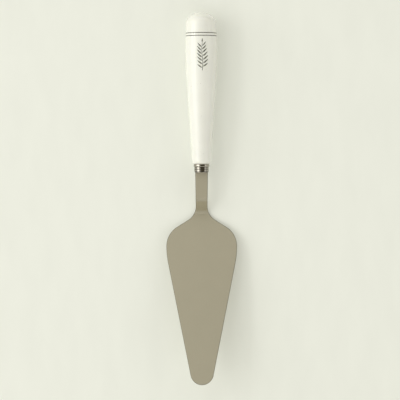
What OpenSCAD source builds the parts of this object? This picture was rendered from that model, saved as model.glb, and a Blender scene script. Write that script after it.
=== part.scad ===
/* [Handle] */
// Length of the porcelain handle
handle_len = 102.2; // [90:0.1:120]
// Largest diameter of the handle, near its butt
handle_d = 21.3; // [19:0.1:24]
// Diameter of the handle at its mouth, before the edge is rounded
mouth_d = 12.6; // [11:0.1:15]
// Distance from the butt to the fattest place
belly_dist = 25.6; // [18:0.1:32]
// Radius of the long swell over the fattest place
belly_r = 270; // [180:1:400]
// Rounding of the outer edge at the mouth
mouth_round = 1.4; // [0.6:0.1:1.8]
// Wall of the hollow handle
handle_wall = 2.6; // [2:0.1:3]

/* [Ferrule] */
// Width of the large ring that meets the handle
lip_w = 2.1; // [1.6:0.1:2.6]
// Width of the flat crown of the large ring
lip_flat = 0.9; // [0.4:0.1:1.2]
// Diameter of the large ring
lip_d = 10.6; // [10:0.1:12]
// Width of each of the small beads
bead_w = 1.4; // [1:0.1:2]
// Width of the flat crown of each small bead
bead_flat = 0.8; // [0.3:0.1:0.9]
// Diameter of the small beads
bead_d = 9.7; // [9.4:0.1:10]
// Number of small beads
bead_count = 2; // [1:1:3]
// Diameter at the bottom of the grooves
groove_d = 9; // [8.6:0.1:9.2]
// Width of the plain skirt in front of the beads
skirt_w = 0.9; // [0.6:0.1:2]
// Diameter of the skirt
skirt_d = 9.3; // [9:0.1:9.6]
// Rounding of the skirt's front edge
skirt_round = 0.3; // [0.1:0.05:0.5]
// Length of the spigot that centres the ferrule in the handle's mouth
spigot_len = 1.5; // [1:0.1:3]
// Metal left beside the slot in the spigot
spigot_wall = 0.8; // [0.5:0.1:1]

/* [Blade] */
// Thickness of the steel sheet
sheet_t = 1.6; // [1.2:0.1:2.2]
// Length of neck and blade in front of the ferrule, seen from above
front_len = 142; // [125:0.1:160]
// Distance from the tip to the widest place, seen from above
point_len = 92.5; // [80:0.1:100]
// Greatest width of the blade
blade_w = 47.6; // [42:0.1:56]
// Radius of the rounded tip
tip_r = 7.8; // [5:0.1:10]
// Radius that turns the widest place into the straight sides
side_blend_r = 57; // [24:1:70]
// Radius of the shoulders
shoulder_r = 15.1; // [11:0.1:18]
// Slope of the shoulders, from square across the blade
shoulder_slope = 32.1; // [26:0.1:40]
// Radius of the hollow where neck and shoulders meet
throat_r = 11.2; // [8:0.1:13]
// Width of the neck at the blade
neck_w = 7.8; // [6.4:0.1:8.4]
// Width of the neck at the ferrule
collar_neck_w = 8.5; // [7.6:0.1:9]

/* [Crank] */
// Level length of the neck in front of the ferrule
level_len = 16.7; // [12:0.1:20]
// Fall of the neck towards the heel, in degrees
crank_angle = 52; // [40:0.5:56]
// Rise of the blade from the heel to the tip, in degrees
lift_angle = 12.2; // [8:0.1:16]
// Radius of the bend at the top of the crank, at mid sheet
crown_bend_r = 3; // [2:0.5:6]
// Radius of the bend at the heel, at mid sheet
heel_bend_r = 4; // [3:0.5:7]

/* [Tang] */
// Length of the tang inside ferrule and handle
tang_len = 64; // [54:0.5:80]
// Width of the tang at its inner end
tang_end_w = 4; // [3.4:0.1:4.4]
// Number of keying notches on each edge
notch_count = 3; // [1:1:4]
// Distance from notch to notch
notch_pitch = 11; // [8:0.5:12]
// Radius of a keying notch
notch_r = 0.8; // [0.4:0.1:1]

/* [Hidden] */
$fn = 96;
// Farthest that a chord may lie inside its arc
arc_miss = 0.01;
// Overrun of every cut
over = 2;
// Gap round the tang in the ferrule's slot
slot_gap = 0.1;
// Gap round the spigot in the handle's mouth
spigot_gap = 0.1;
// Radius of the crown over the butt and of the turn into the side, as shares of the handle's radius
crown_share = 1.105;
butt_turn_share = 0.474;

handle_r = handle_d / 2;
mouth_r = mouth_d / 2;
crown_r = handle_r * crown_share;
butt_turn_r = handle_r * butt_turn_share;
ferrule_len = lip_w + bead_count * bead_w + skirt_w;

// The object lies on its handle and on the blade's heel, with the handle level and the tip in the air.
// The origin is on the surface it lies on, half way between butt and tip.
overall_len = handle_len + ferrule_len + front_len;
butt_y = overall_len / 2;
tip_y = -overall_len / 2;
mouth_y = butt_y - handle_len;
collar_y = mouth_y - ferrule_len;
axis_z = handle_r;

function along(a) = [cos(a), sin(a)];
function turn(p) = atan2(p[1], p[0]);
// Number of chords for an arc of radius r that turns by a degrees
function chords(r, a) = max(2, ceil(abs(a) / (2 * acos(1 - arc_miss / abs(r)))));
function arc(c, r, a0, a1) =
    let (n = chords(r, a1 - a0))
    [for (i = [0:n]) c + r * along(a0 + (a1 - a0) * i / n)];
function flipped(points) = [for (i = [len(points) - 1:-1:0]) [-points[i][0], points[i][1]]];

// One of the two points at distance r0 from c0 and r1 from c1: the one on the left of the way from c0 to c1
function meet(c0, r0, c1, r1) =
    let (
        d = norm(c1 - c0),
        u = (c1 - c0) / d,
        a = (d * d + r0 * r0 - r1 * r1) / (2 * d),
        h = sqrt(r0 * r0 - a * a)
    )
    c0 + a * u + h * [-u[1], u[0]];

// Handle: crown, turn, swell and a straight taper, each tangent to the next
belly_c = [handle_r - belly_r, butt_y - belly_dist];
crown_c = [0, butt_y - crown_r];
butt_turn_c = meet(belly_c, belly_r - butt_turn_r, crown_c, crown_r - butt_turn_r);
crown_end = turn(butt_turn_c - crown_c);
swell_start = turn(butt_turn_c - belly_c);
mouth_way = [mouth_r, mouth_y] - belly_c;
taper_turn = turn(mouth_way) + acos(belly_r / norm(mouth_way));
// Half the handle's outline, from the crown to the start of the taper, a wall's thickness in from the outside
function handle_side(inset) = concat(
    arc(crown_c, crown_r - inset, 90, crown_end),
    arc(butt_turn_c, butt_turn_r - inset, crown_end, swell_start),
    arc(belly_c, belly_r - inset, swell_start, taper_turn));
bore_mouth_r = mouth_r - handle_wall / cos(taper_turn);
// The rounding at the mouth touches the taper and the flat end
mouth_round_c = [mouth_r - mouth_round * (1 + sin(taper_turn)) / cos(taper_turn), mouth_y + mouth_round];

// Ferrule: the spigot fills the handle's mouth, and the slot in it takes the tang
spigot_r = bore_mouth_r - spigot_gap;
slot_w = 2 * (spigot_r - spigot_wall);
tang_w = slot_w - 2 * slot_gap;
lip_r = lip_d / 2;
bead_r = bead_d / 2;
groove_r = groove_d / 2;
skirt_r = skirt_d / 2;
// Ring or bead: a flat crown that falls to the grooves in a quarter of an ellipse on either side
function ring(y, w, flat, r) =
    let (
        rise = r - groove_r,
        stretch = (w - flat) / 2 / rise,
        middle = y - w / 2
    )
    concat(
        [for (p = arc([0, 0], rise, 90, 0)) [groove_r + p[0], middle + flat / 2 + p[1] * stretch]],
        [for (p = arc([0, 0], rise, 0, 90)) [groove_r + p[0], middle - flat / 2 - p[1] * stretch]]);

// Blade seen from above: half the outline, from the tip to the ferrule
widest_y = tip_y + point_len;
tip_c = [0, tip_y + tip_r];
blend_c = [blade_w / 2 - side_blend_r, widest_y];
shoulder_c = [blade_w / 2 - shoulder_r, widest_y];
side_way = blend_c - tip_c;
side_turn = turn(side_way) - acos((tip_r - side_blend_r) / norm(side_way));
shoulder_turn = 90 - shoulder_slope;
throat_x = neck_w / 2 + throat_r;
throat_y = shoulder_c[1] + (shoulder_r + throat_r - (throat_x - shoulder_c[0]) * cos(shoulder_turn)) / sin(shoulder_turn);
throat_c = [throat_x, throat_y];
blade_side = concat(
    arc(tip_c, tip_r, -90, side_turn),
    arc(blend_c, side_blend_r, side_turn, 0),
    arc(shoulder_c, shoulder_r, 0, shoulder_turn),
    arc(throat_c, throat_r, shoulder_turn + 180, 180));

// Tang: a taper with keying notches on both edges
tang_end_y = collar_y + tang_len;
tang_side = [
    [collar_neck_w / 2, collar_y],
    [tang_w / 2, collar_y],
    [tang_w / 2, mouth_y],
    [tang_end_w / 2, tang_end_y]];
function tang_half(y) = tang_w / 2 + (tang_end_w - tang_w) / 2 * (y - mouth_y) / (tang_end_y - mouth_y);

// Side view of the sheet: up(a) is the sheet's upper side where it rises by a degrees towards the tip
function up(a) = [sin(a), cos(a)];
level_end = [collar_y - level_len, axis_z];
crown_bend_c = level_end - [0, crown_bend_r];
ramp_start = crown_bend_c + crown_bend_r * up(-crank_angle);
heel_c_z = heel_bend_r + sheet_t / 2;
ramp_end_z = heel_c_z - heel_bend_r * cos(crank_angle);
ramp_run = (ramp_start[1] - ramp_end_z) / tan(crank_angle);
heel_c = [ramp_start[0] - ramp_run - heel_bend_r * sin(crank_angle), heel_c_z];
lift_start = heel_c - heel_bend_r * up(lift_angle);
lift_run = lift_start[0] - tip_y + over;
lift_end = lift_start + [-lift_run, lift_run * tan(lift_angle)];
function bend(c, r, a0, a1) =
    let (n = chords(r, a1 - a0))
    [for (i = [0:n]) let (a = a0 + (a1 - a0) * i / n) [c + r * up(a), up(a)]];
spine = concat(
    [[[tang_end_y + over, axis_z], up(0)]],
    bend(crown_bend_c, crown_bend_r, 0, -crank_angle),
    bend(heel_c, -heel_bend_r, -crank_angle, lift_angle),
    [[lift_end, up(lift_angle)]]);
sheet_side = concat(
    [for (p = spine) p[0] + p[1] * sheet_t / 2],
    [for (i = [len(spine) - 1:-1:0]) spine[i][0] - spine[i][1] * sheet_t / 2]);

// Turns a half outline, drawn as radius against length, about the handle's axis
module turned() {
    translate([0, 0, axis_z])
        rotate([-90, 0, 0])
            rotate_extrude()
                children();
}

module bore_outline() {
    polygon(concat(handle_side(handle_wall), [[bore_mouth_r, mouth_y], [0, mouth_y]]));
}

module bore() {
    turned() bore_outline();
}

module handle() {
    color("white")
        turned()
            difference() {
                polygon(concat(
                    handle_side(0),
                    arc(mouth_round_c, mouth_round, taper_turn, -90),
                    [[0, mouth_y]]));
                bore_outline();
                translate([0, mouth_y - over])
                    square([bore_mouth_r, 2 * over]);
            }
}

// The steel sheet, flat towards the handle and bent twice in front of it
module sheet() {
    rotate([90, 0, 90])
        linear_extrude(blade_w + 2 * over, center = true)
            polygon(sheet_side);
}

module blade_plan() {
    side = concat(blade_side, tang_side);
    difference() {
        polygon(concat(side, flipped(side)));
        for (i = [1:notch_count], s = [-1, 1])
            let (y = tang_end_y - i * notch_pitch)
                translate([s * (tang_half(y) + notch_r / 3), y])
                    circle(notch_r);
    }
}

module blade() {
    color("silver")
        intersection() {
            translate([0, 0, -over])
                linear_extrude(axis_z + lift_end[1] + 2 * over)
                    blade_plan();
            sheet();
        }
}

module slot() {
    translate([-slot_w / 2, collar_y - over, axis_z - sheet_t / 2 - slot_gap])
        cube([slot_w, ferrule_len + spigot_len + 2 * over, sheet_t + 2 * slot_gap]);
}

module ferrule() {
    beads_y = mouth_y - lip_w;
    skirt_y = beads_y - bead_count * bead_w;
    color("gainsboro")
        difference() {
            turned()
                polygon(concat(
                    [[0, mouth_y + spigot_len], [spigot_r, mouth_y + spigot_len], [spigot_r, mouth_y]],
                    ring(mouth_y, lip_w, lip_flat, lip_r),
                    [for (i = [0:bead_count - 1], p = ring(beads_y - i * bead_w, bead_w, bead_flat, bead_r)) p],
                    [[skirt_r, skirt_y]],
                    arc([skirt_r - skirt_round, collar_y + skirt_round], skirt_round, 0, -90),
                    [[0, collar_y]]));
            slot();
        }
}

module cement() {
    color("lightgray")
        difference() {
            bore();
            blade();
            translate([-handle_r, mouth_y - over, 0])
                cube([handle_d, over + spigot_len, handle_d]);
        }
}

handle();
ferrule();
blade();
cement();
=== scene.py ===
import math
from functools import partial

import bmesh
import bpy
import numpy as np
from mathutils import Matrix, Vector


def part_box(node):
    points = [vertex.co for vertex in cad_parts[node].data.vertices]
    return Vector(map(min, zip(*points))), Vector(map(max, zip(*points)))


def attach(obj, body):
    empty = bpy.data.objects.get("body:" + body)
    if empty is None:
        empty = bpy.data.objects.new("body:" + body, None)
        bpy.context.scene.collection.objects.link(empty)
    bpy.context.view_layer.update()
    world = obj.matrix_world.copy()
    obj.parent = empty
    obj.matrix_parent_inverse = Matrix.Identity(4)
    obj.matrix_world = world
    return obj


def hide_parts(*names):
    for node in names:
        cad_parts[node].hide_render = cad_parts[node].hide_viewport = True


bl_info = {
    "name": "Cake Server",
    "version": (1, 0, 0),
    "blender": (4, 5, 0),
    "location": "3D View > Sidebar > Cake Server",
    "description": "Dresses a cake server: porcelain handle, fired ink, steel ferrule and blade",
    "category": "Add Mesh",
}

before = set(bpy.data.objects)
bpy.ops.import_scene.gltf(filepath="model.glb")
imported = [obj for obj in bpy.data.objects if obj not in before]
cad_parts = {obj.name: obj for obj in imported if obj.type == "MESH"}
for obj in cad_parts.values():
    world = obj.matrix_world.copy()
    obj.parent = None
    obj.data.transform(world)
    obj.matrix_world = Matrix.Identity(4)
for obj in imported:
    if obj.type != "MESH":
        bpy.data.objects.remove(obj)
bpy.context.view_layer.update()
HANDLE_LOW, HANDLE_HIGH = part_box("handle")
FERRULE_LOW, FERRULE_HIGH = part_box("ferrule")
BLADE_LOW, BLADE_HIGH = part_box("blade")

MM = 0.001
BODY = "root"
# Facets round every turned piece
AROUND = 144
# A radius below this closes a turned skin in one point on its axis
ON_AXIS = 1e-7
# Points nearer than this along the server lie in one row across it
ONE_ROW = 1e-8
# Edges of a piece that are sharper than this stay hard
SHARP = math.radians(35)
# Width of the camera's sensor in millimetres
SENSOR = 36

# Settings of nodes
DOT = {"operation": "DOT_PRODUCT"}
TIMES = {"operation": "MULTIPLY"}
TIMES_AND_ADD = {"operation": "MULTIPLY_ADD"}
LARGER = {"operation": "MAXIMUM"}
SOFT = {"interpolation_type": "SMOOTHSTEP"}
# A Mix of colours has its factor at input 0 and the colours at inputs 6 and 7
COLOURS = {"data_type": "RGBA"}
# Noise mostly lies between these
MIDDLE = {"From Min": 0.3, "From Max": 0.7}


def linear(code):
    """An sRGB colour such as "#CAC6BA" as linear red, green and blue."""
    shares = [int(code[i:i + 2], 16) / 255 for i in (1, 3, 5)]
    return tuple(s / 12.92 if s <= 0.04045 else ((s + 0.055) / 1.055) ** 2.4 for s in shares)


def number(name, description, value, **more):
    return bpy.props.FloatProperty(name=name, description=description, default=value, **more)


spot = partial(number, unit="LENGTH", precision=5)
length = partial(spot, min=0)
watts = partial(number, unit="POWER", min=0)


def angle(name, description, degrees):
    return number(name, description, math.radians(degrees), unit="ROTATION")


def share(name, description, value, most=1):
    return number(name, description, value, subtype="FACTOR", min=0, max=most)


def how_many(name, description, count):
    return bpy.props.IntProperty(name=name, description=description, default=count, min=1)


def tint(name, description, code):
    return bpy.props.FloatVectorProperty(
        name=name, description=description, default=linear(code), size=3, min=0, max=1,
        subtype="COLOR")


class HandleSizes(bpy.types.PropertyGroup):
    radius: length("Radius", "Largest radius of the handle", HANDLE_HIGH.x)
    butt_y: spot("Butt", "Place of the butt on the length axis", HANDLE_HIGH.y)
    mouth_y: spot("Mouth", "Place of the mouth on the length axis", HANDLE_LOW.y)
    mouth_r: length("Mouth radius", "Radius at the mouth, before its edge is rounded", 6.3 * MM)
    belly_dist: length("Belly", "Distance from the butt to the fattest place", 25.6 * MM)
    belly_r: length("Swell radius", "Radius of the long swell over the fattest place", 270 * MM)
    mouth_round: length("Mouth rounding", "Rounding of the outer edge at the mouth", 1.4 * MM)
    wall: length("Wall", "Wall of the hollow handle", 2.6 * MM)
    crown_share: share("Crown", "Radius of the butt's crown, as a share of the handle's", 1.105, 2)
    butt_turn_share: share("Butt turn", "Radius from crown to side, as such a share", 0.474)
    glaze: tint("Glaze", "Colour of the glazed porcelain", "#F2F2EA")


class InkSizes(bpy.types.PropertyGroup):
    first_ring: length("First ring", "Distance from the butt to the first ring line", 14.3 * MM)
    ring_count: how_many("Ring lines", "Number of ring lines", 2)
    ring_pitch: length("Ring pitch", "Distance from ring line to ring line", 1.85 * MM)
    ring_w: length("Ring width", "Width of a ring line", 0.5 * MM)
    sprig_start: length("Sprig start", "Distance from the butt to the sprig's top", 18.2 * MM)
    sprig_len: length("Sprig length", "Length of the sprig along the handle", 21.4 * MM)
    sprig_side: length("Sprig offset", "Distance of the stem from the handle's top line", 0.7 * MM)
    stem_w: length("Stem width", "Width of the stem at its root", 0.36 * MM)
    stem_end_w: length("Stem end width", "Width of the stem at its top", 0.22 * MM)
    stem_sway: length("Stem sway", "How far the stem sways to either side", 0.35 * MM)
    leaf_pairs: how_many("Leaf pairs", "Pairs of leaves below the top leaf", 7)
    leaf_len: length("Leaf length", "Length of the longest leaf", 4.6 * MM)
    leaf_w: length("Leaf width", "Width of the longest leaf", 0.8 * MM)
    vein_w: length("Vein width", "Width of a leaf's bare vein at its root", 0.14 * MM)
    top_vein_w: length("Top vein width", "The same width on the top leaf", 0.12 * MM)
    proud: length("Height", "How far the fired ink stands above the glaze", 0.03 * MM)
    ink: tint("Ink", "Colour of the fired ink", "#4A4A3E")


class FerruleSizes(bpy.types.PropertyGroup):
    collar_y: spot("Front", "Place of the front face on the length axis", FERRULE_LOW.y)
    lip_w: length("Ring width", "Width of the large ring", 2.1 * MM)
    lip_flat: length("Ring crown", "Width of the flat crown of the large ring", 0.9 * MM)
    lip_r: length("Ring radius", "Radius of the large ring", FERRULE_HIGH.x)
    bead_w: length("Bead width", "Width of each small bead", 1.4 * MM)
    bead_flat: length("Bead crown", "Width of the flat crown of each small bead", 0.8 * MM)
    bead_r: length("Bead radius", "Radius of the small beads", 4.85 * MM)
    bead_count: how_many("Beads", "Number of small beads", 2)
    groove_r: length("Groove radius", "Radius at the bottom of the grooves", 4.5 * MM)
    skirt_r: length("Skirt radius", "Radius of the plain skirt", 4.65 * MM)
    skirt_round: length("Skirt rounding", "Rounding of the skirt's front edge", 0.3 * MM)
    spigot_len: length("Spigot", "Length of the spigot in the handle's mouth", 1.5 * MM)
    spigot_gap: length("Spigot gap", "Gap round the spigot", 0.1 * MM)
    spigot_wall: length("Spigot wall", "Metal left beside the slot in the spigot", 0.8 * MM)
    slot_gap: length("Slot gap", "Gap round the tang in the slot", 0.1 * MM)
    steel: tint("Polished steel", "Colour of the polished ferrule", "#ADA89E")


class BladeSizes(bpy.types.PropertyGroup):
    tip_y: spot("Tip", "Place of the tip on the length axis", BLADE_LOW.y)
    sheet_t: length("Sheet", "Thickness of the steel sheet", 1.6 * MM)
    point_len: length("Point", "Distance from the tip to the widest place", 92.5 * MM)
    half_w: length("Half width", "Half the greatest width", BLADE_HIGH.x)
    tip_r: length("Tip radius", "Radius of the rounded tip", 7.8 * MM)
    side_blend_r: length("Side radius", "Radius from the widest place to the sides", 57 * MM)
    shoulder_r: length("Shoulder radius", "Radius of the shoulders", 15.1 * MM)
    shoulder_slope: angle("Shoulder slope", "Slope of the shoulders from square across", 32.1)
    throat_r: length("Throat radius", "Radius between neck and shoulders", 11.2 * MM)
    neck_w: length("Neck width", "Width of the neck at the blade", 7.8 * MM)
    collar_neck_w: length("Collar width", "Width of the neck at the ferrule", 8.5 * MM)
    level_len: length("Level length", "Level length of the neck in front of the ferrule", 16.7 * MM)
    crank: angle("Crank", "Fall of the neck towards the heel", 52)
    lift: angle("Lift", "Rise of the blade from the heel to the tip", 12.2)
    crown_bend_r: length("Crown bend", "Radius of the bend at the top of the crank", 3 * MM)
    heel_bend_r: length("Heel bend", "Radius of the bend at the heel", 4 * MM)
    tang_end_y: spot("Tang end", "Place of the tang's end on the length axis", BLADE_HIGH.y)
    tang_end_w: length("Tang end width", "Width of the tang at its inner end", 4 * MM)
    notch_count: how_many("Notches", "Keying notches on each edge", 3)
    notch_pitch: length("Notch pitch", "Distance from notch to notch", 11 * MM)
    notch_r: length("Notch radius", "Radius of a keying notch", 0.8 * MM)
    edge_round: length("Edge rounding", "Radius that tumbling leaves on the edges", 0.3 * MM)
    satin: share("Satin", "Roughness of the satin steel", 0.56)
    edge_satin: share("Edge satin", "Roughness of the cut edge", 0.42)
    steel: tint("Satin steel", "Colour of the satin blade", "#C2BCA8")
    # Painted shade on the bends: their colour as a share of the blade's
    painted_bend_shade: share("Bend tone", "Tone of the bends' skin, as a share of the blade's", 0.78)
    # The cut edge's colour is painted darker than the face's: painted shade along the edges
    edge: tint("Cut edge", "Colour of the blade's cut edge", "#7F7A6C")


class StageSizes(bpy.types.PropertyGroup):
    camera_x: spot("Camera X", "Camera's place across the server", -1.08 * MM)
    camera_y: spot("Camera Y", "Camera's place along the server", -1.42 * MM)
    camera_z: length("Camera height", "Height of the camera over the table", 2.03)
    camera_turn: angle("Camera turn", "Turn of the camera about the vertical", -0.15)
    lens: number("Lens", "Focal length in millimetres", 270.2, min=1)
    window_dist: length("Window distance", "Distance of both soft windows, on the left", 1.5)
    window_tall: length("Window height", "Height of each window", 0.27)
    low_window: angle("Low window", "Elevation of the low window", 20)
    low_window_turn: angle("Low window turn", "Turn of the low window towards the butt", 12)
    low_window_wide: length("Low window width", "Width of the low window", 0.75)
    low_window_w: watts("Low window power", "Power of the low window", 1.95)
    high_window: angle("High window", "Elevation of the high window", 40)
    high_window_turn: angle("High window turn", "Turn of the high window towards the butt", 0)
    high_window_wide: length("High window width", "Width of the high window", 1.5)
    high_window_w: watts("High window power", "Power of the high window", 4.3)
    room_light: share("Room light", "Strength of the light from the room", 0.84, 2)
    screen_right: share("Screen right", "Place to the right, as a share of the room's reach", 0.2)
    screen_back: share("Screen back", "Place towards the butt, as such a share", 0.13)
    screen_wide: share("Screen width", "Half the width of the dark screen, as such a share", 0.6)
    screen_long: share("Screen length", "Half the length of the dark screen, as such a share", 0.53)
    screen_soft: share("Screen edge", "Softness of the dark screen's edge", 0.12)
    table_reach: length("Table reach", "Half the length of the table's sides", 20)
    table: tint("Table", "Colour of the pale table", "#EFF1E9")
    plain: tint("Plain table", "Colour that the camera sees where no shadow falls", "#EDEEE0")
    plain_share: share("Plain share", "Share of that colour in what the camera sees", 0.3)
    walls: tint("Walls", "Colour of the room's pale walls and ceiling", "#FBFAF4")
    screen: tint("Screen", "Colour of the dark screen overhead", "#494435")


class CakeServer(bpy.types.PropertyGroup):
    handle: bpy.props.PointerProperty(type=HandleSizes)
    ink: bpy.props.PointerProperty(type=InkSizes)
    ferrule: bpy.props.PointerProperty(type=FerruleSizes)
    blade: bpy.props.PointerProperty(type=BladeSizes)
    stage: bpy.props.PointerProperty(type=StageSizes)


def along(a):
    """The unit step that points a radians from the first axis."""
    return np.array([math.cos(a), math.sin(a)])


def heading(p):
    return math.atan2(p[1], p[0])


def arc(centre, radius, start, end, chord=1.2 * MM, turn=math.radians(5)):
    """Points on an arc, at most a chord and a turn apart."""
    sweep = abs(end - start)
    count = max(2, math.ceil(sweep * abs(radius) / chord), math.ceil(sweep / turn))
    return [np.asarray(centre) + radius * along(a) for a in np.linspace(start, end, count + 1)]


def straight(start, end, step):
    """Points on a straight line, without its first one."""
    start, end = np.asarray(start, float), np.asarray(end, float)
    count = max(1, math.ceil(np.linalg.norm(end - start) / step))
    return [start + (end - start) * i / count for i in range(1, count + 1)]


def meet(c0, r0, c1, r1):
    """The point at distance r0 from c0 and r1 from c1, on the left of the way from c0 to c1."""
    way = c1 - c0
    d = np.linalg.norm(way)
    u = way / d
    a = (d * d + r0 * r0 - r1 * r1) / (2 * d)
    return c0 + a * u + math.sqrt(r0 * r0 - a * a) * np.array([-u[1], u[0]])


class HandleShape:
    """The handle's outline as radius against length: crown, turn, swell and a straight taper."""

    def __init__(self, h):
        self.sizes = h
        self.axis_z = h.radius
        self.crown_r = h.radius * h.crown_share
        self.turn_r = h.radius * h.butt_turn_share
        self.belly_c = np.array([h.radius - h.belly_r, h.butt_y - h.belly_dist])
        self.crown_c = np.array([0, h.butt_y - self.crown_r])
        self.turn_c = meet(
            self.belly_c, h.belly_r - self.turn_r, self.crown_c, self.crown_r - self.turn_r)
        self.crown_end = heading(self.turn_c - self.crown_c)
        self.swell_start = heading(self.turn_c - self.belly_c)
        mouth = np.array([h.mouth_r, h.mouth_y]) - self.belly_c
        self.taper = heading(mouth) + math.acos(h.belly_r / np.linalg.norm(mouth))
        self.bore_r = h.mouth_r - h.wall / math.cos(self.taper)
        drop = h.mouth_round * (1 + math.sin(self.taper)) / math.cos(self.taper)
        self.round_c = np.array([h.mouth_r - drop, h.mouth_y + h.mouth_round])

    def side(self, inset):
        """Crown, turn and swell, moved inwards by the inset."""
        fine = math.radians(3)
        points = arc(self.crown_c, self.crown_r - inset, math.pi / 2, self.crown_end, turn=fine)
        points += arc(
            self.turn_c, self.turn_r - inset, self.crown_end, self.swell_start, turn=fine)[1:]
        belly_r = self.sizes.belly_r - inset
        return points + arc(self.belly_c, belly_r, self.swell_start, self.taper)[1:]

    def outside(self):
        points = self.side(0)
        mouth_round = self.sizes.mouth_round
        rounding = arc(self.round_c, mouth_round, self.taper, -math.pi / 2, chord=0.2 * MM)
        return points + straight(points[-1], rounding[0], 2 * MM)[:-1] + rounding

    def inside(self):
        points = self.side(self.sizes.wall)
        return points + straight(points[-1], (self.bore_r, self.sizes.mouth_y), 4 * MM)

    def radius_at(self, y):
        points = np.array(self.outside())
        return np.interp(y, points[::-1, 1], points[::-1, 0])


def new_piece(name, skin, sharp=SHARP):
    """Turns a bmesh into an object of that name, smooth but for edges sharper than that."""
    old = bpy.data.objects.get(name)
    if old:
        bpy.data.objects.remove(old)
    bmesh.ops.recalc_face_normals(skin, faces=skin.faces)
    mesh = bpy.data.meshes.new(name)
    skin.to_mesh(mesh)
    skin.free()
    mesh.shade_smooth()
    mesh.set_sharp_from_angle(angle=sharp)
    piece = bpy.data.objects.new(name, mesh)
    bpy.context.scene.collection.objects.link(piece)
    return piece


def turned_skin(skin, outline, axis_z, closed=False):
    """Adds the skin that (radius, y) points make when they turn about the handle's axis."""
    turns = [2 * math.pi * i / AROUND for i in range(AROUND)]
    loops = []
    for radius, y in outline:
        spokes = turns if radius > ON_AXIS else turns[:1]
        loops.append([
            skin.verts.new((radius * math.sin(a), y, axis_z + radius * math.cos(a)))
            for a in spokes])
    following = loops[1:] + loops[:1] if closed else loops[1:]
    for near, far in zip(loops, following):
        for i in range(AROUND):
            j = (i + 1) % AROUND
            quad = (near[i % len(near)], near[j % len(near)], far[j % len(far)], far[i % len(far)])
            # A loop of one point gives the same corner twice
            corners = list(dict.fromkeys(quad))
            if len(corners) > 2:
                skin.faces.new(corners)


def feed(tree, node, inputs):
    """Sets the inputs of a node, or links them where the value is a socket or another node."""
    for name, value in inputs.items():
        if isinstance(value, bpy.types.Node):
            value = next(socket for socket in value.outputs if socket.enabled)
        if isinstance(value, bpy.types.NodeSocket):
            tree.links.new(value, node.inputs[name])
        else:
            node.inputs[name].default_value = value


def add_node(tree, kind, settings=None, inputs=None):
    """Adds a shader node of a kind, such as "Mix", with its settings and inputs."""
    made = tree.nodes.new("ShaderNode" + kind)
    for name, value in (settings or {}).items():
        setattr(made, name, value)
    feed(tree, made, inputs or {})
    return made


def new_material(name):
    """An empty material: its tree, its place in object space and its linked Principled shader."""
    material = bpy.data.materials.get(name) or bpy.data.materials.new(name)
    material.use_nodes = True
    tree = material.node_tree
    tree.nodes.clear()
    shader = add_node(tree, "BsdfPrincipled")
    add_node(tree, "OutputMaterial", inputs={"Surface": shader})
    return material, tree, add_node(tree, "TexCoord").outputs["Object"], shader


def rgba(colour, factor=1.0):
    return (*(c * factor for c in colour), 1.0)


def grain(tree, place, size_mm, detail=2.0, stretch=(1, 1, 1)):
    """Noise whose lumps are size_mm across, and longer along an axis by its stretch."""
    spread = add_node(tree, "VectorMath", {"operation": "DIVIDE"}, {0: place, 1: stretch})
    lumps = {"Vector": spread, "Scale": 1 / (size_mm * MM), "Detail": detail}
    return add_node(tree, "TexNoise", inputs=lumps)


def glazed_porcelain(colour):
    """Slip-cast porcelain under a clear glaze.

    It is white and faintly translucent, with a wet gloss that ripples a little.
    """
    material, tree, place, shader = new_material("slip_cast_glazed_porcelain")
    # The glaze runs a little thicker here and thinner there: cloud of 9 mm, ripple of 5 mm
    cloud = add_node(tree, "MapRange", inputs={"Value": grain(tree, place, 9), **MIDDLE})
    ripple = grain(tree, place, 5, detail=1)
    # Iron specks in the body, far apart and under 0.3 mm
    speck = grain(tree, place, 0.8, detail=0)
    speck = add_node(tree, "MapRange", inputs={
        "Value": speck, "From Min": 0.8, "From Max": 0.86, "To Max": 0.5})
    body = add_node(tree, "Mix", COLOURS, {0: cloud, 6: rgba(colour), 7: rgba(colour, 0.975)})
    body = add_node(tree, "Mix", COLOURS, {0: speck, 6: body, 7: rgba(linear("#B9B2A0"))})
    gloss = {"Value": ripple, **MIDDLE, "To Min": 0.07, "To Max": 0.12}
    bump = {"Height": ripple, "Strength": 0.25, "Distance": 0.04 * MM}
    feed(tree, shader, {
        "Base Color": body, "Roughness": add_node(tree, "MapRange", inputs=gloss), "IOR": 1.52,
        "Subsurface Weight": 0.12, "Subsurface Radius": (1.0, 0.9, 0.7),
        "Subsurface Scale": 1.5 * MM, "Normal": add_node(tree, "Bump", inputs=bump)})
    return material


def fired_ink(colour):
    """Ceramic ink fired into the glaze.

    It is dark, as glossy as the glaze, and thin in places, so that the white shows through.
    """
    material, tree, place, shader = new_material("fired_ceramic_ink")
    # Screen printing leaves the ink uneven over 0.4 mm
    thin = add_node(tree, "MapRange", inputs={
        "Value": grain(tree, place, 0.4, detail=3), **MIDDLE, "To Max": 0.35})
    ink = add_node(tree, "Mix", COLOURS, {0: thin, 6: rgba(colour), 7: rgba(linear("#8B8B7E"))})
    feed(tree, shader, {"Base Color": ink, "Roughness": 0.12, "IOR": 1.5})
    return material


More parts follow.
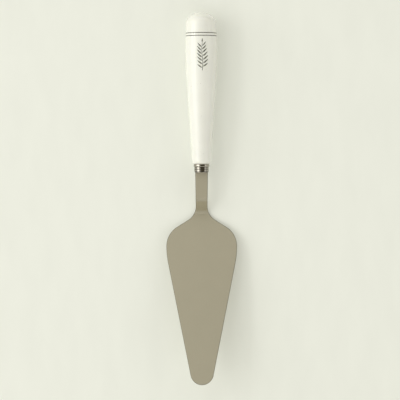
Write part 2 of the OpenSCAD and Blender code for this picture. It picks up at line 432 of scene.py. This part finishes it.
def polished_steel(f, axis_z):
    """Stainless steel, turned and buffed.

    It is mirror bright, with turning lines round it, and painted shade in its grooves, where it is
    also rougher.
    """
    material, tree, place, shader = new_material("turned_polished_stainless_steel")
    # Distance from the handle's axis, to find the grooves
    out = add_node(tree, "VectorMath", {"operation": "SUBTRACT"}, {0: place, 1: (0, 0, axis_z)})
    out = add_node(tree, "VectorMath", TIMES, {0: out, 1: (1, 0, 1)})
    radius = add_node(tree, "VectorMath", {"operation": "LENGTH"}, {0: out})
    falling = {"Value": radius, "To Min": 1, "To Max": 0}
    # Painted shade, deepest at the bottom of the grooves
    depth = add_node(tree, "MapRange", inputs={
        **falling, "From Min": f.groove_r, "From Max": f.bead_r - 0.03 * MM})
    # Painted shade also on the flanks of the grooves, where they face along the axis
    facing = add_node(tree, "NewGeometry").outputs["Normal"]
    steep = add_node(tree, "VectorMath", DOT, {0: facing, 1: (0, 1, 0)})
    steep = add_node(tree, "Math", {"operation": "ABSOLUTE"}, {0: steep})
    steep = add_node(tree, "MapRange", SOFT, {"Value": steep, "From Min": 0.02, "From Max": 0.2})
    low = add_node(tree, "MapRange", inputs={
        **falling, "From Min": f.bead_r, "From Max": f.bead_r + 0.1 * MM})
    flank = add_node(tree, "Math", TIMES, {0: steep, 1: low})
    groove_shade = add_node(tree, "Math", LARGER, {0: depth, 1: flank})
    # The painted shade stops short of the front face and its rounding
    front_y = f.collar_y + f.skirt_round
    behind = add_node(tree, "VectorMath", DOT, {0: place, 1: (0, 1, 0)})
    behind = add_node(tree, "MapRange", inputs={
        "Value": behind, "From Min": front_y, "From Max": front_y + 0.1 * MM})
    groove_shade = add_node(tree, "Math", TIMES, {0: groove_shade, 1: behind})
    # Painted shade: the grooves and their flanks are darkened to a quarter of the steel's colour
    steel = add_node(tree, "Mix", COLOURS, {0: groove_shade, 6: rgba(f.steel), 7: rgba(f.steel, 0.25)})
    # Turning lines are about 0.05 mm apart; these are 0.15 mm, so that they show
    lines = grain(tree, place, 0.15, detail=1, stretch=(40, 1, 40))
    rough = add_node(tree, "MapRange", inputs={
        "Value": lines, **MIDDLE, "To Min": 0.07, "To Max": 0.12})
    # Where the shade is painted, the metal is also rougher
    rough = add_node(tree, "Math", TIMES_AND_ADD, {0: groove_shade, 1: 0.12, 2: rough})
    bump = {"Height": lines, "Strength": 0.1, "Distance": 0.01 * MM}
    feed(tree, shader, {
        "Base Color": steel, "Metallic": 1, "Roughness": rough,
        "Normal": add_node(tree, "Bump", inputs=bump)})
    return material


def satin_steel(name, colour, roughness, painted_bend_shade):
    """Rolled stainless sheet with a fine satin finish along its length.

    It is a soft, even grey with faint lengthwise lines.
    """
    material, tree, place, shader = new_material(name)
    # Satin lines are about 0.05 mm apart; these are 0.3 mm and 25 times as long, so that they show
    lines = grain(tree, place, 0.3, detail=3, stretch=(1, 25, 1))
    # Wiping leaves clouds of 25 mm that are hardly darker
    cloud = add_node(tree, "MapRange", inputs={
        "Value": grain(tree, place, 25), **MIDDLE, "To Max": 0.9})
    # A few hair scratches from use, 0.25 mm wide, run across it
    hairs = grain(tree, place, 0.25, detail=1, stretch=(60, 1.6, 1.6))
    hairs = add_node(tree, "MapRange", inputs={"Value": hairs, "From Min": 0.74, "From Max": 0.8})
    wear = add_node(tree, "Math", LARGER, {0: hairs, 1: cloud})
    steel = add_node(tree, "Mix", COLOURS, {0: wear, 6: rgba(colour), 7: rgba(colour, 0.96)})
    # Painted shade on the two bends: the colour darkens where the sheet falls forwards,
    # but less than on the ramp between the bends
    facing = add_node(tree, "NewGeometry").outputs["Normal"]
    facing = add_node(tree, "SeparateXYZ", inputs={0: facing}).outputs
    slope = add_node(tree, "Math", {"operation": "DIVIDE"}, {0: facing["Y"], 1: facing["Z"]})
    falls = add_node(tree, "MapRange", SOFT, {
        "Value": slope, "From Min": -0.31, "From Max": -0.02, "To Min": 1, "To Max": 0})
    less = add_node(tree, "MapRange", SOFT, {
        "Value": slope, "From Min": -1.17, "From Max": -0.46})
    bent = add_node(tree, "Math", TIMES, {0: falls, 1: less})
    steel = add_node(tree, "Mix", COLOURS, {0: bent, 6: steel, 7: rgba(colour, painted_bend_shade)})
    rough = add_node(tree, "MapRange", inputs={
        "Value": lines, **MIDDLE, "To Min": roughness - 0.03, "To Max": roughness + 0.03})
    rough = add_node(tree, "Math", TIMES_AND_ADD, {0: wear, 1: 0.03, 2: rough})
    bump = {"Height": lines, "Strength": 0.12, "Distance": 0.01 * MM}
    feed(tree, shader, {
        "Base Color": steel, "Metallic": 1, "Roughness": rough,
        "Normal": add_node(tree, "Bump", inputs=bump)})
    return material


def setting_cement():
    """Plaster-like setting cement: matt, pale grey and gritty."""
    material, tree, place, shader = new_material("setting_cement")
    # Sand grains of 0.5 mm in a body that is mottled over 6 mm
    grit = {"Height": grain(tree, place, 0.5, detail=4), "Strength": 0.6, "Distance": 0.2 * MM}
    mottle = add_node(tree, "MapRange", inputs={"Value": grain(tree, place, 6), **MIDDLE})
    body = add_node(tree, "Mix", COLOURS, {
        0: mottle, 6: rgba(linear("#CFCBC2")), 7: rgba(linear("#BDB8AD"))})
    feed(tree, shader, {
        "Base Color": body, "Roughness": 0.9, "Normal": add_node(tree, "Bump", inputs=grit)})
    return material


def painted_table(stage):
    """A painted board: matt and pale, with a roller's faint stipple."""
    material, tree, place, shader = new_material("painted_board")
    # The roller's stipple is about 1.5 mm, over streaks 12 mm wide and three times as long
    stipple = {
        "Height": grain(tree, place, 1.5, detail=3), "Strength": 0.1, "Distance": 0.1 * MM}
    streak = grain(tree, place, 12, stretch=(1, 3, 1))
    streak = add_node(tree, "MapRange", inputs={"Value": streak, **MIDDLE})
    paint = add_node(tree, "Mix", COLOURS, {
        0: streak, 6: rgba(stage.table), 7: rgba(stage.table, 0.97)})
    feed(tree, shader, {
        "Base Color": paint, "Roughness": 0.8, "Specular IOR Level": 0.2,
        "Normal": add_node(tree, "Bump", inputs=stipple)})
    # Camera, metal and glass see a share of its plain colour, which keeps the shadows on it pale
    rays = add_node(tree, "LightPath").outputs
    seen = rays["Is Camera Ray"]
    for kind in ("Is Glossy Ray", "Is Transmission Ray"):
        seen = add_node(tree, "Math", LARGER, {0: seen, 1: rays[kind]})
    part = add_node(tree, "Math", TIMES, {0: seen, 1: stage.plain_share})
    plain = add_node(tree, "Emission", inputs={"Color": rgba(stage.plain), "Strength": 1})
    both = add_node(tree, "MixShader", inputs={0: part, 1: shader, 2: plain})
    feed(tree, tree.nodes["Material Output"], {"Surface": both})
    return material


class Sprig:
    """Ink drawn on the handle's top as (side, y) points in metres, and laid on its round skin."""

    def __init__(self, shape, proud):
        self.shape = shape
        self.proud = proud
        self.skin = bmesh.new()

    def lay(self, side, y, height):
        radius = float(self.shape.radius_at(y))
        a = side / radius
        r = radius + height
        return self.skin.verts.new((r * math.sin(a), y, self.shape.axis_z + r * math.cos(a)))

    def patch(self, rows):
        """A closed film of ink over rows of points, its lower side just inside the glaze."""
        top = [[self.lay(*p, self.proud) for p in row] for row in rows]
        low = [[self.lay(*p, -self.proud) for p in row] for row in rows]
        for grid in (top, low):
            for a, b in zip(grid, grid[1:]):
                for i in range(len(a) - 1):
                    self.skin.faces.new((a[i], a[i + 1], b[i + 1], b[i]))
        above, below = (
            grid[0] + [r[-1] for r in grid[1:-1]] + grid[-1][::-1] + [r[0] for r in grid[-2:0:-1]]
            for grid in (top, low))
        for i in range(len(above)):
            j = (i + 1) % len(above)
            self.skin.faces.new((above[i], above[j], below[j], below[i]))

    def leaf(self, root, way, size, width, vein, bow=0.0):
        """Two half blades with a bare vein between them, bowed by a share of their length."""
        steps, columns = 12, 3
        across = along(way + math.pi / 2)
        for hand in (-1, 1):
            rows = []
            for i in range(steps + 1):
                t = i / steps
                # Widest a little nearer to the root than to the point, and never quite sharp
                swell = width / 2 * math.sin(math.pi * t ** 0.8) + 0.02 * MM
                inner = vein / 2 * (1 - t)
                middle = root + along(way) * size * t + across * bow * size * t * t
                rows.append([
                    middle + across * hand * (inner + swell * k / columns)
                    for k in range(columns + 1)])
            self.patch(rows)

    def stem(self, points, start_w, end_w):
        """A tapering line through points."""
        rows = []
        for i, p in enumerate(points):
            ahead = points[min(i + 1, len(points) - 1)] - points[max(i - 1, 0)]
            across = np.array([-ahead[1], ahead[0]]) / np.linalg.norm(ahead)
            half = (start_w + (end_w - start_w) * i / (len(points) - 1)) / 2
            rows.append([p - across * half, p, p + across * half])
        self.patch(rows)


class BladeShape:
    """The blade's outline from above and its bends from the side."""

    def __init__(self, b, axis_z, collar_y, mouth_y, tang_w):
        self.b = b
        self.axis_z = axis_z
        self.collar_y = collar_y
        self.mouth_y = mouth_y
        self.tang_w = tang_w

    def plan(self):
        """Half the outline, from the tip to the middle of the tang's end."""
        b = self.b
        widest_y = b.tip_y + b.point_len
        tip_c = np.array([0, b.tip_y + b.tip_r])
        blend_c = np.array([b.half_w - b.side_blend_r, widest_y])
        shoulder_c = np.array([b.half_w - b.shoulder_r, widest_y])
        way = blend_c - tip_c
        side_turn = heading(way) - math.acos((b.tip_r - b.side_blend_r) / np.linalg.norm(way))
        shoulder_turn = math.pi / 2 - b.shoulder_slope
        throat_x = b.neck_w / 2 + b.throat_r
        reach = b.shoulder_r + b.throat_r - (throat_x - shoulder_c[0]) * math.cos(shoulder_turn)
        throat_c = np.array([throat_x, shoulder_c[1] + reach / math.sin(shoulder_turn)])
        tip = arc(tip_c, b.tip_r, -math.pi / 2, side_turn, chord=0.5 * MM)
        side = arc(blend_c, b.side_blend_r, side_turn, 0, chord=0.8 * MM)
        shoulder = arc(shoulder_c, b.shoulder_r, 0, shoulder_turn, chord=0.5 * MM)
        throat = arc(throat_c, b.throat_r, shoulder_turn + math.pi, math.pi, chord=0.4 * MM)
        points = tip + straight(tip[-1], side[0], 1.5 * MM)[:-1] + side
        points += shoulder[1:] + straight(shoulder[-1], throat[0], 0.5 * MM)[:-1] + throat
        points += straight(throat[-1], (b.collar_neck_w / 2, self.collar_y), 0.5 * MM)
        points += [np.array([self.tang_w / 2, self.collar_y])]
        points += straight(points[-1], (self.tang_w / 2, self.mouth_y), 1.5 * MM)
        return points + self.tang()

    def tang(self):
        """The tang's edge behind the ferrule: a taper with round notches, and its end."""
        b = self.b
        half = self.tang_w / 2
        slope = (b.tang_end_w / 2 - half) / (b.tang_end_y - self.mouth_y)
        # A notch's centre lies a third of its radius outside the edge
        off = b.notch_r / 3
        turn = math.acos(off / b.notch_r)
        points = []
        last = np.array([half, self.mouth_y])
        for i in range(b.notch_count, 0, -1):
            y = b.tang_end_y - i * b.notch_pitch
            centre = np.array([half + slope * (y - self.mouth_y) + off, y])
            notch = arc(centre, b.notch_r, math.pi + turn, math.pi - turn, chord=0.2 * MM)
            points += straight(last, notch[0], 2 * MM)[:-1] + notch
            last = notch[-1]
        corner = np.array([b.tang_end_w / 2, b.tang_end_y])
        return points + straight(last, corner, 2 * MM) + [np.array([0, b.tang_end_y])]

    def side_view(self, out):
        """Lengths, heights and tilts of the sheet's upper face (out 1) or lower face (out -1)."""
        b = self.b

        def up(a):
            return np.array([math.sin(a), math.cos(a)])

        off = out * b.sheet_t / 2
        level_end = np.array([self.collar_y - b.level_len, self.axis_z])
        crown_c = level_end - np.array([0, b.crown_bend_r])
        ramp_start = crown_c + b.crown_bend_r * up(-b.crank)
        heel_z = b.heel_bend_r + b.sheet_t / 2
        ramp_end_z = heel_z - b.heel_bend_r * math.cos(b.crank)
        run = (ramp_start[1] - ramp_end_z) / math.tan(b.crank)
        heel_c = np.array([ramp_start[0] - run - b.heel_bend_r * math.sin(b.crank), heel_z])
        lift_start = heel_c - b.heel_bend_r * up(b.lift)
        far = lift_start[0] - b.tip_y + 2 * MM
        lift_end = lift_start + np.array([-far, far * math.tan(b.lift)])
        rows = [(np.array([b.tang_end_y + 2 * MM, self.axis_z]), 0.0)]
        rows += [(crown_c + b.crown_bend_r * up(a), a) for a in np.linspace(0, -b.crank, 60)]
        rows += [(heel_c - b.heel_bend_r * up(a), a) for a in np.linspace(-b.crank, b.lift, 80)]
        rows += [(lift_end, b.lift)]
        points = np.array([p + off * up(a) for p, a in rows])
        tilts = np.array([a for _, a in rows])
        order = np.argsort(points[:, 0])
        return points[order, 0], points[order, 1], tilts[order]


def out_of(points):
    """Outward ways at the points of a half outline.

    They are longer in its corners, so that an inset keeps its width there.
    """
    ways = []
    for i, p in enumerate(points):
        before = p - points[i - 1] if i else np.array([1.0, 0.0])
        after = points[i + 1] - p if i + 1 < len(points) else np.array([-1.0, 0.0])
        sides = [np.array([v[1], -v[0]]) / np.linalg.norm(v) for v in (before, after)]
        ways.append((sides[0] + sides[1]) / (1 + sides[0] @ sides[1]))
    return ways


def edge_section(p, way, top, low, thickness, rounding, turns=5):
    """Points and normals round the sheet's edge, from its upper to its lower face."""
    out = way / np.linalg.norm(way)
    section = []
    for face, curve in ((1, top), (-1, low)):
        for k in range(turns + 1):
            a = math.pi / 2 * (k if face == 1 else turns - k) / turns
            inset, drop = rounding * (1 - math.sin(a)), rounding * (1 - math.cos(a))
            x, y = p - way * inset
            upper, under = np.interp(y, top[0], top[1]), np.interp(y, low[0], low[1])
            tilt = np.interp(y, curve[0], curve[2])
            fall = drop * (upper - under) / thickness
            z = upper - fall if face == 1 else under + fall
            normal = math.cos(a) * face * np.array([0, math.sin(tilt), math.cos(tilt)])
            section.append((max(x, 0.0), y, z, normal + math.sin(a) * np.array([*out, 0])))
    return section


def sheet_faces(verts, edges, middles):
    """Faces across the upper and lower side, between the two edges and the middle line."""
    faces = []
    last = len(middles) - 1

    def steps(i):
        """Whether the outline goes square across the sheet from this point to the next."""
        here, there = (verts[edges[1][k][0]][1] for k in (i, i + 1))
        return abs(here - there) < ONE_ROW

    for i in range(last):
        if steps(i):
            continue
        j = i + 1
        for end in (0, -1):
            for hand in (1, -1):
                near, far = edges[hand][i][end], edges[hand][j][end]
                if j + 1 < last and steps(j):
                    # The row ends at the step's inner corner, and a triangle fills its outer one
                    inner = edges[hand][j + 1][end]
                    faces.append((middles[i][end], near, inner, middles[j + 1][end]))
                    faces.append((near, far, inner))
                else:
                    corners = (middles[i][end], near, far, middles[j][end])
                    faces.append(tuple(dict.fromkeys(corners)))
    return faces


def sheet_skin(plan, top, low, thickness, rounding):
    """The bent sheet's skin, whose edge has the second finish, and its vertices' normals."""
    verts, normals = [], []

    def add(x, y, z, normal):
        verts.append((x, y, z))
        normals.append(tuple(normal / np.linalg.norm(normal)))
        return len(verts) - 1

    # Vertices along the right and the left edge, and pairs of them along the middle line
    edges = {1: [], -1: []}
    middles = []
    for p, way in zip(plan, out_of(plan)):
        section = edge_section(p, way, top, low, thickness, rounding)
        right = [add(*s) for s in section]
        edges[1].append(right)
        if p[0] < ON_AXIS:
            edges[-1].append(right)
            middles.append((right[0], right[-1]))
        else:
            edges[-1].append([add(-x, y, z, n * np.array([-1, 1, 1])) for x, y, z, n in section])
            ends = [section[0], section[-1]]
            middles.append(tuple(add(0, y, z, n * np.array([0, 1, 1])) for _, y, z, n in ends))
    skin = bmesh.new()
    corners = [skin.verts.new(v) for v in verts]
    for face in sheet_faces(verts, edges, middles):
        skin.faces.new([corners[i] for i in face])
    for hand in (1, -1):
        for near, far in zip(edges[hand], edges[hand][1:]):
            for k in range(len(near) - 1):
                face = (near[k], near[k + 1], far[k + 1], far[k])
                skin.faces.new([corners[i] for i in face]).material_index = 1
    return skin, normals


class Step:
    """What the operators share."""

    bl_options = {"REGISTER", "UNDO"}


class CAKESERVER_OT_handle(Step, bpy.types.Operator):
    """Turn the hollow porcelain handle"""

    bl_idname = "cake_server.handle"
    bl_label = "Porcelain handle"

    def execute(self, context):
        sizes = context.scene.cake_server.handle
        shape = HandleShape(sizes)
        skin = bmesh.new()
        turned_skin(skin, shape.outside() + shape.inside()[::-1], shape.axis_z)
        piece = new_piece("porcelain_handle", skin)
        piece.data.materials.append(glazed_porcelain(sizes.glaze))
        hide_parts("handle")
        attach(piece, BODY)
        return {"FINISHED"}


class CAKESERVER_OT_ring_lines(Step, bpy.types.Operator):
    """Band the handle with its fired ring lines"""

    bl_idname = "cake_server.ring_lines"
    bl_label = "Ring lines"

    # Across a line, in its widths and heights: edges that dip into the glaze, and a low crown
    across = ((-0.5, -1), (-0.5, 0.4), (-0.38, 1), (0, 1.15), (0.38, 1), (0.5, 0.4), (0.5, -1))

    def execute(self, context):
        server = context.scene.cake_server
        shape = HandleShape(server.handle)
        ink = server.ink
        material = fired_ink(ink.ink)
        for i in range(ink.ring_count):
            y = server.handle.butt_y - ink.first_ring - i * ink.ring_pitch
            outline = [
                (float(shape.radius_at(y + s * ink.ring_w)) + h * ink.proud, y + s * ink.ring_w)
                for s, h in self.across]
            skin = bmesh.new()
            turned_skin(skin, outline, shape.axis_z, closed=True)
            piece = new_piece("ring_line_%d" % (i + 1), skin, sharp=math.radians(60))
            piece.data.materials.append(material)
            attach(piece, BODY)
        return {"FINISHED"}


class CAKESERVER_OT_sprig(Step, bpy.types.Operator):
    """Print the leaf sprig on the handle"""

    bl_idname = "cake_server.sprig"
    bl_label = "Leaf sprig"

    def execute(self, context):
        server = context.scene.cake_server
        ink = server.ink
        sprig = Sprig(HandleShape(server.handle), ink.proud)
        top_y = server.handle.butt_y - ink.sprig_start
        top_leaf = ink.leaf_len * 0.6
        stem_len = ink.sprig_len - top_leaf

        def on_stem(t):
            sway = ink.stem_sway * math.sin(2 * math.pi * t)
            return np.array([ink.sprig_side + sway, top_y - ink.sprig_len + stem_len * t])

        steps = 40
        sprig.stem([on_stem(i / steps) for i in range(steps + 1)], ink.stem_w, ink.stem_end_w)
        for i in range(ink.leaf_pairs):
            for hand in (-1, 1):
                # The leaves keep a little off the stem's root and top, and one on the right grows
                # a third of a step higher than the one on the left
                t = 0.09 + 0.86 * (i + (0.35 if hand > 0 else 0.0)) / ink.leaf_pairs
                # They are longest half way up, and stand steeper further up
                size = ink.leaf_len * (0.62 + 0.38 * math.sin(math.pi * (0.18 + 0.72 * t)))
                way = math.pi / 2 - hand * math.radians(64 - 18 * t)
                root = on_stem(t) + along(way) * 0.3 * MM
                width = ink.leaf_w * size / ink.leaf_len
                sprig.leaf(root, way, size, width, ink.vein_w, bow=hand * 0.14)
        root = on_stem(1.0) + np.array([0, 0.15 * MM])
        sprig.leaf(root, math.pi / 2, top_leaf, ink.leaf_w * 0.8, ink.top_vein_w)
        piece = new_piece("leaf_sprig", sprig.skin)
        piece.data.materials.append(fired_ink(ink.ink))
        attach(piece, BODY)
        return {"FINISHED"}


class CAKESERVER_OT_ferrule(Step, bpy.types.Operator):
    """Turn the beaded steel ferrule and cut its slot"""

    bl_idname = "cake_server.ferrule"
    bl_label = "Beaded ferrule"

    def execute(self, context):
        server = context.scene.cake_server
        f = server.ferrule
        shape = HandleShape(server.handle)
        spigot_r = shape.bore_r - f.spigot_gap
        mouth_y = server.handle.mouth_y
        back_y = mouth_y + f.spigot_len
        outline = [(0.0, back_y), (spigot_r, back_y), (spigot_r, mouth_y)]
        outline += self.ring(mouth_y, f.lip_w, f.lip_flat, f.lip_r, f.groove_r)
        y = mouth_y - f.lip_w
        for _ in range(f.bead_count):
            outline += self.ring(y, f.bead_w, f.bead_flat, f.bead_r, f.groove_r)
            y -= f.bead_w
        corner = np.array([f.skirt_r - f.skirt_round, f.collar_y + f.skirt_round])
        outline += [(f.skirt_r, y)] + arc(corner, f.skirt_round, 0, -math.pi / 2, chord=0.1 * MM)
        outline += [(0.0, f.collar_y)]
        # The rings share their end points, which are kept once
        outline = [
            p for i, p in enumerate(outline) if i == 0 or math.dist(p, outline[i - 1]) > ON_AXIS]
        skin = bmesh.new()
        turned_skin(skin, outline, shape.axis_z)
        piece = new_piece("beaded_ferrule", skin)
        half_w = spigot_r - f.spigot_wall
        half_t = server.blade.sheet_t / 2 + f.slot_gap
        self.cut_slot(piece, half_w, half_t, shape.axis_z, f.collar_y - MM, back_y + MM)
        piece.data.materials.append(polished_steel(f, shape.axis_z))
        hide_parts("ferrule")
        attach(piece, BODY)
        return {"FINISHED"}

    @staticmethod
    def ring(y, width, flat, top, groove_r):
        """A ring or bead: a flat crown, and a quarter of an ellipse down to each groove."""
        rise, reach, middle = top - groove_r, (width - flat) / 2, y - width / 2
        turns = np.linspace(0, math.pi / 2, 11)
        flank = [along(a) * (rise, reach) + (groove_r, flat / 2) for a in turns]
        return [(r, middle + d) for r, d in flank[::-1]] + [(r, middle - d) for r, d in flank]

    @staticmethod
    def cut_slot(piece, half_w, half_t, axis_z, start_y, end_y):
        """Cuts a box through the piece along the axis."""
        tool = bmesh.new()
        bmesh.ops.create_cube(tool, size=1)
        for v in tool.verts:
            v.co.x *= 2 * half_w
            v.co.y = start_y if v.co.y < 0 else end_y
            v.co.z = axis_z + v.co.z * 2 * half_t
        cutter = new_piece("slot_cutter", tool)
        cut = piece.modifiers.new("slot", "BOOLEAN")
        cut.object = cutter
        cut.solver = "EXACT"
        bpy.context.view_layer.update()
        shown = piece.evaluated_get(bpy.context.evaluated_depsgraph_get())
        made = bpy.data.meshes.new_from_object(shown)
        piece.modifiers.clear()
        piece.data = made
        made.name = piece.name
        bpy.data.objects.remove(cutter)
        made.set_sharp_from_angle(angle=SHARP)


class CAKESERVER_OT_blade(Step, bpy.types.Operator):
    """Bend the steel sheet that is blade, neck and tang"""

    bl_idname = "cake_server.blade"
    bl_label = "Steel blade"

    def execute(self, context):
        server = context.scene.cake_server
        b, f = server.blade, server.ferrule
        handle = HandleShape(server.handle)
        tang_w = 2 * (handle.bore_r - f.spigot_gap - f.spigot_wall - f.slot_gap)
        shape = BladeShape(b, handle.axis_z, f.collar_y, server.handle.mouth_y, tang_w)
        skin, normals = sheet_skin(
            shape.plan(), shape.side_view(1), shape.side_view(-1), b.sheet_t, b.edge_round)
        # The skin has its own normals, so that its flats stay flat up to the rounded edge
        piece = new_piece("steel_blade", skin, sharp=math.pi)
        piece.data.normals_split_custom_set_from_vertices(normals)
        piece.data.materials.append(
            satin_steel("satin_rolled_stainless_steel", b.steel, b.satin, b.painted_bend_shade))
        # The edge has no painted bend shade; its darker colour is painted shade along the edges
        piece.data.materials.append(satin_steel("tumbled_steel_edge", b.edge, b.edge_satin, 1.0))
        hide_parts("blade")
        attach(piece, BODY)
        return {"FINISHED"}


class CAKESERVER_OT_cement(Step, bpy.types.Operator):
    """Give the cement in the bore its finish"""

    bl_idname = "cake_server.cement"
    bl_label = "Cement"

    def execute(self, context):
        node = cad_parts["cement"]
        node.data.materials.clear()
        node.data.materials.append(setting_cement())
        return {"FINISHED"}


class CAKESERVER_OT_stage(Step, bpy.types.Operator):
    """Set the table, the light, the room and the camera"""

    bl_idname = "cake_server.stage"
    bl_label = "Table, light and camera"

    def execute(self, context):
        stage = context.scene.cake_server.stage
        self.table(stage)
        self.window(stage, "low_window")
        self.window(stage, "high_window")
        self.room(context, stage)
        self.camera(context, stage)
        context.scene.view_settings.view_transform = "Standard"
        return {"FINISHED"}

    @staticmethod
    def table(stage):
        skin = bmesh.new()
        bmesh.ops.create_grid(skin, x_segments=12, y_segments=12, size=stage.table_reach)
        table = new_piece("table", skin)
        table.data.materials.append(painted_table(stage))

    @staticmethod
    def window(stage, name):
        """A soft window on the left, that faces the server from its elevation and turn."""
        high, turn, wide, power = (
            getattr(stage, name + end) for end in ("", "_turn", "_wide", "_w"))
        lamp = bpy.data.lights.new(name, "AREA")
        lamp.shape = "RECTANGLE"
        lamp.size, lamp.size_y = stage.window_tall, wide
        lamp.energy = power
        # Daylight, a touch warm
        lamp.color = (1.0, 1.0, 0.98)
        made = bpy.data.objects.new(name, lamp)
        out = stage.window_dist * math.cos(high)
        made.location = (
            -out * math.cos(turn), out * math.sin(turn), stage.window_dist * math.sin(high))
        made.rotation_euler = (0, high - math.pi / 2, -turn)
        bpy.context.scene.collection.objects.link(made)

    @staticmethod
    def room(context, stage):
        """A pale room that dims to its floor, with a dark screen over the server."""
        world = bpy.data.worlds.new("room")
        world.use_nodes = True
        tree = world.node_tree
        tree.nodes.clear()
        way = add_node(tree, "TexCoord").outputs["Generated"]
        # The walls stay bright lower down in front, beyond the tip
        high = add_node(tree, "VectorMath", DOT, {0: way, 1: (0, -0.1, 1)})
        dim = add_node(tree, "MapRange", SOFT, {
            "Value": high, "From Min": -0.04, "From Max": 0.25, "To Min": 0.3})
        # The ceiling is the brightest, and the wall behind the butt brighter than the others
        lean = add_node(tree, "VectorMath", DOT, {0: way, 1: (0.05, 0.25, 0.73)})
        light = add_node(tree, "Math", {"operation": "ADD"}, {0: lean, 1: stage.room_light})
        light = add_node(tree, "Math", TIMES, {0: light, 1: dim})
        # The screen is an ellipse seen from below, whose outline is at 1
        middle = (stage.screen_right, stage.screen_back, 0)
        spread = (1 / stage.screen_wide, 1 / stage.screen_long, 0)
        off = add_node(tree, "VectorMath", {"operation": "SUBTRACT"}, {0: way, 1: middle})
        off = add_node(tree, "VectorMath", TIMES, {0: off, 1: spread})
        off = add_node(tree, "VectorMath", {"operation": "LENGTH"}, {0: off})
        screen = add_node(tree, "MapRange", SOFT, {
            "Value": off, "From Min": 1 - stage.screen_soft, "From Max": 1 + stage.screen_soft,
            "To Min": 1, "To Max": 0})
        colour = add_node(tree, "Mix", COLOURS, {
            0: screen, 6: rgba(stage.walls), 7: rgba(stage.screen)})
        back = add_node(tree, "Background", inputs={"Color": colour, "Strength": light})
        add_node(tree, "OutputWorld", inputs={"Surface": back})
        context.scene.world = world

    @staticmethod
    def camera(context, stage):
        lens = bpy.data.cameras.new("camera")
        lens.sensor_width = SENSOR
        lens.lens = stage.lens
        camera = bpy.data.objects.new("camera", lens)
        camera.location = (stage.camera_x, stage.camera_y, stage.camera_z)
        camera.rotation_euler = (0, 0, stage.camera_turn)
        context.scene.collection.objects.link(camera)
        context.scene.camera = camera


STEPS = (
    CAKESERVER_OT_stage,
    CAKESERVER_OT_handle,
    CAKESERVER_OT_ring_lines,
    CAKESERVER_OT_sprig,
    CAKESERVER_OT_ferrule,
    CAKESERVER_OT_blade,
    CAKESERVER_OT_cement,
)


class CAKESERVER_PT_steps(bpy.types.Panel):
    """Lists the pieces of the cake server, and its sizes and colours"""

    bl_label = "Cake Server"
    bl_idname = "CAKESERVER_PT_steps"
    bl_space_type = "VIEW_3D"
    bl_region_type = "UI"
    bl_category = "Cake Server"

    def draw(self, context):
        for step in STEPS:
            self.layout.operator(step.bl_idname)
        server = context.scene.cake_server
        for part in ("handle", "ink", "ferrule", "blade", "stage"):
            box = self.layout.box()
            box.label(text=part.capitalize())
            sizes = getattr(server, part)
            for name in type(sizes).__annotations__:
                box.prop(sizes, name)


CLASSES = (
    HandleSizes, InkSizes, FerruleSizes, BladeSizes, StageSizes, CakeServer,
    *STEPS, CAKESERVER_PT_steps)


def register():
    for each in CLASSES:
        bpy.utils.register_class(each)
    bpy.types.Scene.cake_server = bpy.props.PointerProperty(type=CakeServer)


def unregister():
    del bpy.types.Scene.cake_server
    for each in reversed(CLASSES):
        bpy.utils.unregister_class(each)


def main():
    register()
    for step in STEPS:
        group, name = step.bl_idname.split(".")
        getattr(getattr(bpy.ops, group), name)()


if __name__ == "__main__":
    main()
